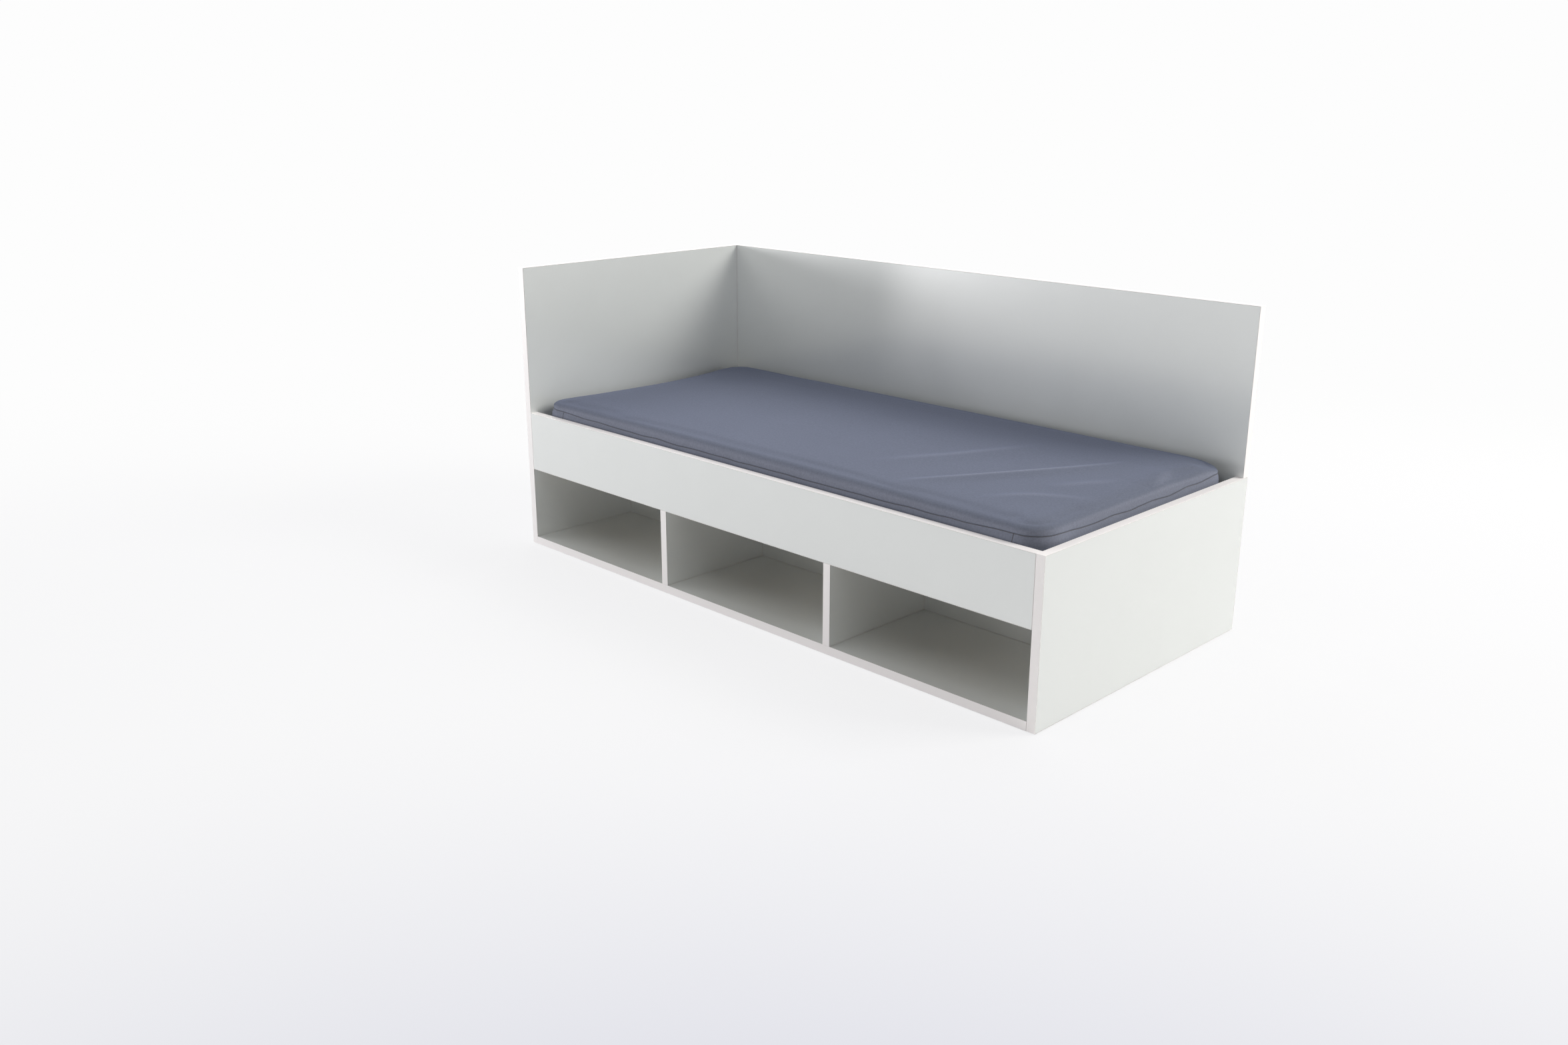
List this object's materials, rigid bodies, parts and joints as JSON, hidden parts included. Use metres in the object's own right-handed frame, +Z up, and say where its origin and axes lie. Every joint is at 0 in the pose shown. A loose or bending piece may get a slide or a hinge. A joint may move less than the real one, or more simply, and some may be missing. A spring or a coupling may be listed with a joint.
{
  "type": "corner bed",
  "caption": "Corner bed with a high left end and high back, a low front rail over open storage compartments, a slatted base and a mattress that lifts out.",
  "frame": {"origin": "on the floor, under the middle of the bed's length and depth", "axes": "+X along the bed to its low right end, +Y to the high back that stands against a wall, +Z up"},
  "size_m": [2.05, 0.95, 0.923],
  "materials": {
    "white_board": "satin",
    "pine": "matte",
    "beech": "matte",
    "mattress_cover": "matte",
    "cam_zinc": "satin",
    "bolt_steel": "satin",
    "glide_plastic": "matte"
  },
  "bodies": {
    "root": {"left_end_panel": "white_board", "right_end_panel": "white_board", "back_panel": "white_board", "front_rail": "white_board", "base_panel": "white_board", "storage_divider_1": "white_board", "storage_divider_2": "white_board", "storage_back_panel": "white_board", "front_cleat": "pine", "back_cleat": "pine", "slat_01": "pine", "slat_02": "pine", "slat_03": "pine", "slat_04": "pine", "slat_05": "pine", "slat_06": "pine", "slat_07": "pine", "slat_08": "pine", "slat_09": "pine", "slat_10": "pine", "slat_11": "pine", "slat_12": "pine", "slat_13": "pine", "rail_left_bolt": "bolt_steel", "rail_left_cam": "cam_zinc", "rail_left_dowel": "beech", "rail_right_bolt": "bolt_steel", "rail_right_cam": "cam_zinc", "rail_right_dowel": "beech", "base_left_bolt": "bolt_steel", "base_left_cam": "cam_zinc", "base_left_dowel": "beech", "base_right_bolt": "bolt_steel", "base_right_cam": "cam_zinc", "base_right_dowel": "beech", "storage_back_left_bolt": "bolt_steel", "storage_back_left_cam": "cam_zinc", "storage_back_right_bolt": "bolt_steel", "storage_back_right_cam": "cam_zinc", "back_left_lower_bolt": "bolt_steel", "back_left_lower_cam": "cam_zinc", "back_left_upper_bolt": "bolt_steel", "back_left_upper_cam": "cam_zinc", "back_right_bolt": "bolt_steel", "back_right_cam": "cam_zinc", "divider_1_dowel": "beech", "divider_2_dowel": "beech", "front_cleat_screw_1": "bolt_steel", "front_cleat_screw_2": "bolt_steel", "back_cleat_screw_1": "bolt_steel", "back_cleat_screw_2": "bolt_steel", "glide_left_front": "glide_plastic", "glide_left_back": "glide_plastic", "glide_right_front": "glide_plastic", "glide_right_back": "glide_plastic", "glide_base_1": "glide_plastic", "glide_base_2": "glide_plastic", "glide_wall_1": "glide_plastic", "glide_wall_2": "glide_plastic"},
    "mattress": {"mattress": "mattress_cover"}
  },
  "joints": [
    {"name": "mattress_lift", "type": "slide", "parent": "root", "child": "mattress", "axis": [0, 0, 1], "range_m": [0, 0.25]}
  ]
}
